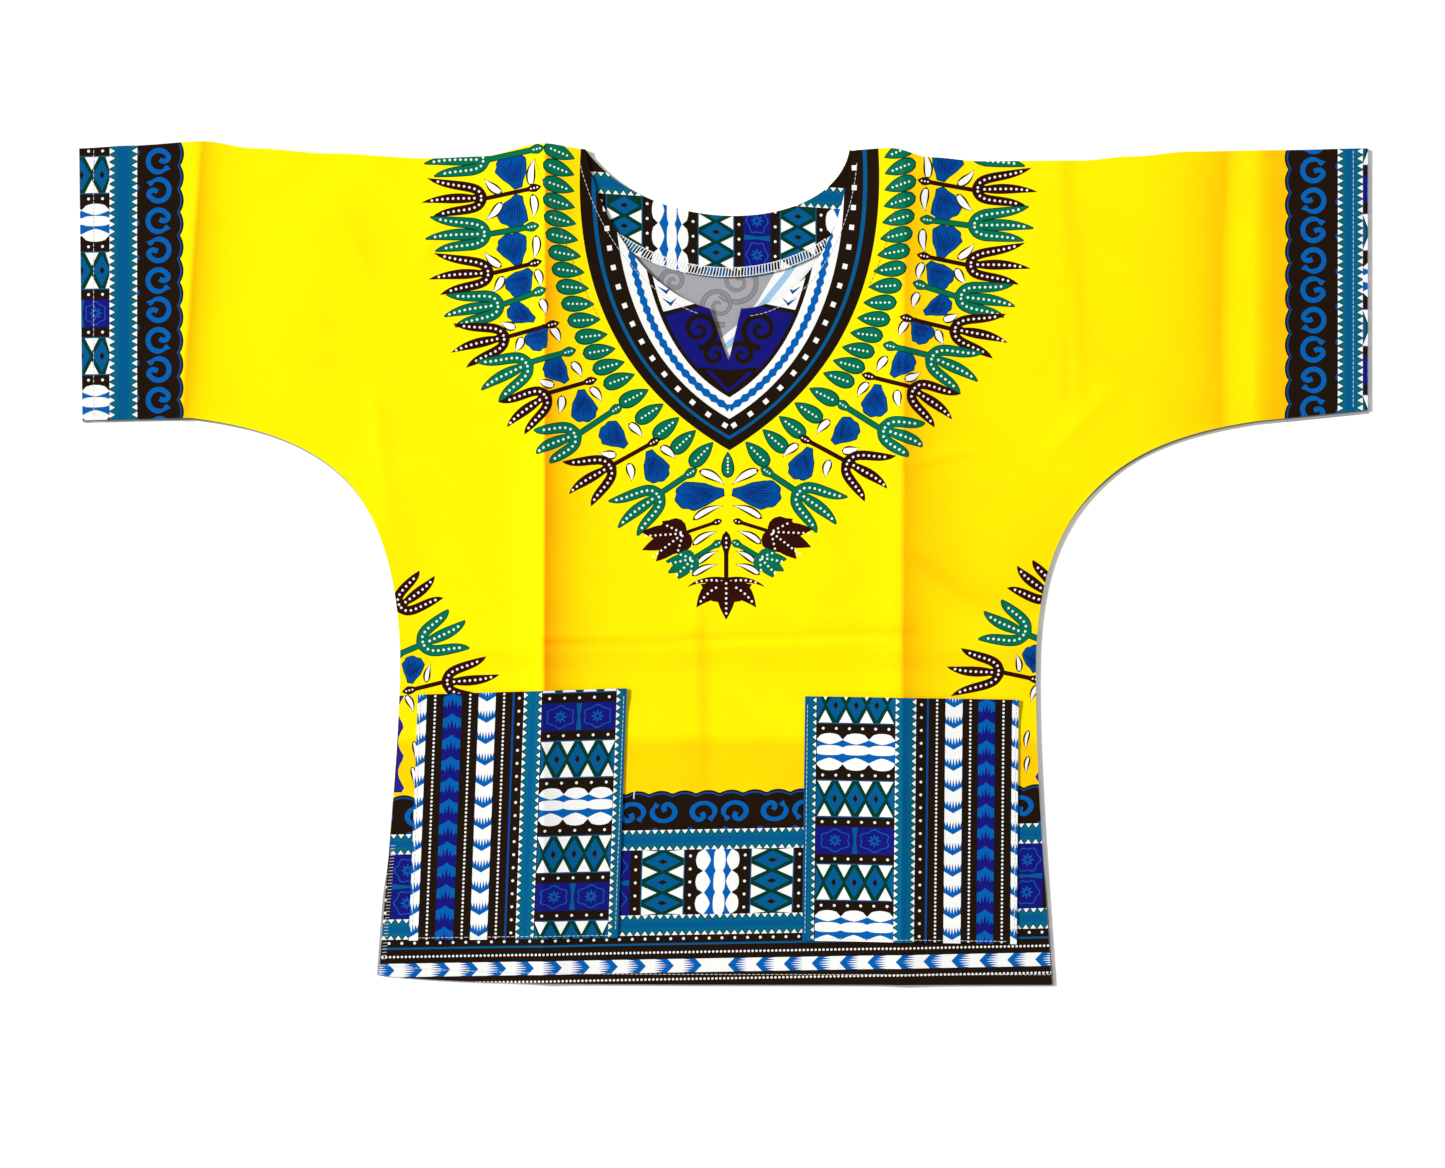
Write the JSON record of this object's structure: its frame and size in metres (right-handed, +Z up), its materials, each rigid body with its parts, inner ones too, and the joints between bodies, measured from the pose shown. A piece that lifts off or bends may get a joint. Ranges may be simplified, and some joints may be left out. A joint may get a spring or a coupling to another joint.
{
  "type": "dashiki shirt",
  "caption": "Child's dashiki pullover laid flat: wide sleeves cut in one with the body, faced V-notched neck, patch pockets and side slits, in border-printed cotton.",
  "frame": {"origin": "under the middle of the laid-out shirt, on the surface it lies on", "axes": "+X across to the viewer's right, +Y from the hem to the shoulders, +Z up from the surface"},
  "size_m": [0.798, 0.5224, 0.0099],
  "materials": {
    "front_print": "plain-woven cotton, wax-style print on bright yellow, soft matt sheen",
    "back_print": "the same printed cotton; its wrong side shows a faded grey print",
    "facing_print": "the same printed cotton, blue and white border rows, overlocked edge",
    "pocket_print": "border of the printed cotton: black, navy, blue, teal and white stripes",
    "thread": "spun polyester sewing thread, white on the overlock and yellow or dark on the seams"
  },
  "bodies": {
    "root": {"front": "front_print", "back": "back_print", "neck_facing": "facing_print", "pocket_left": "pocket_print", "pocket_right": "pocket_print"}
  },
  "joints": []
}
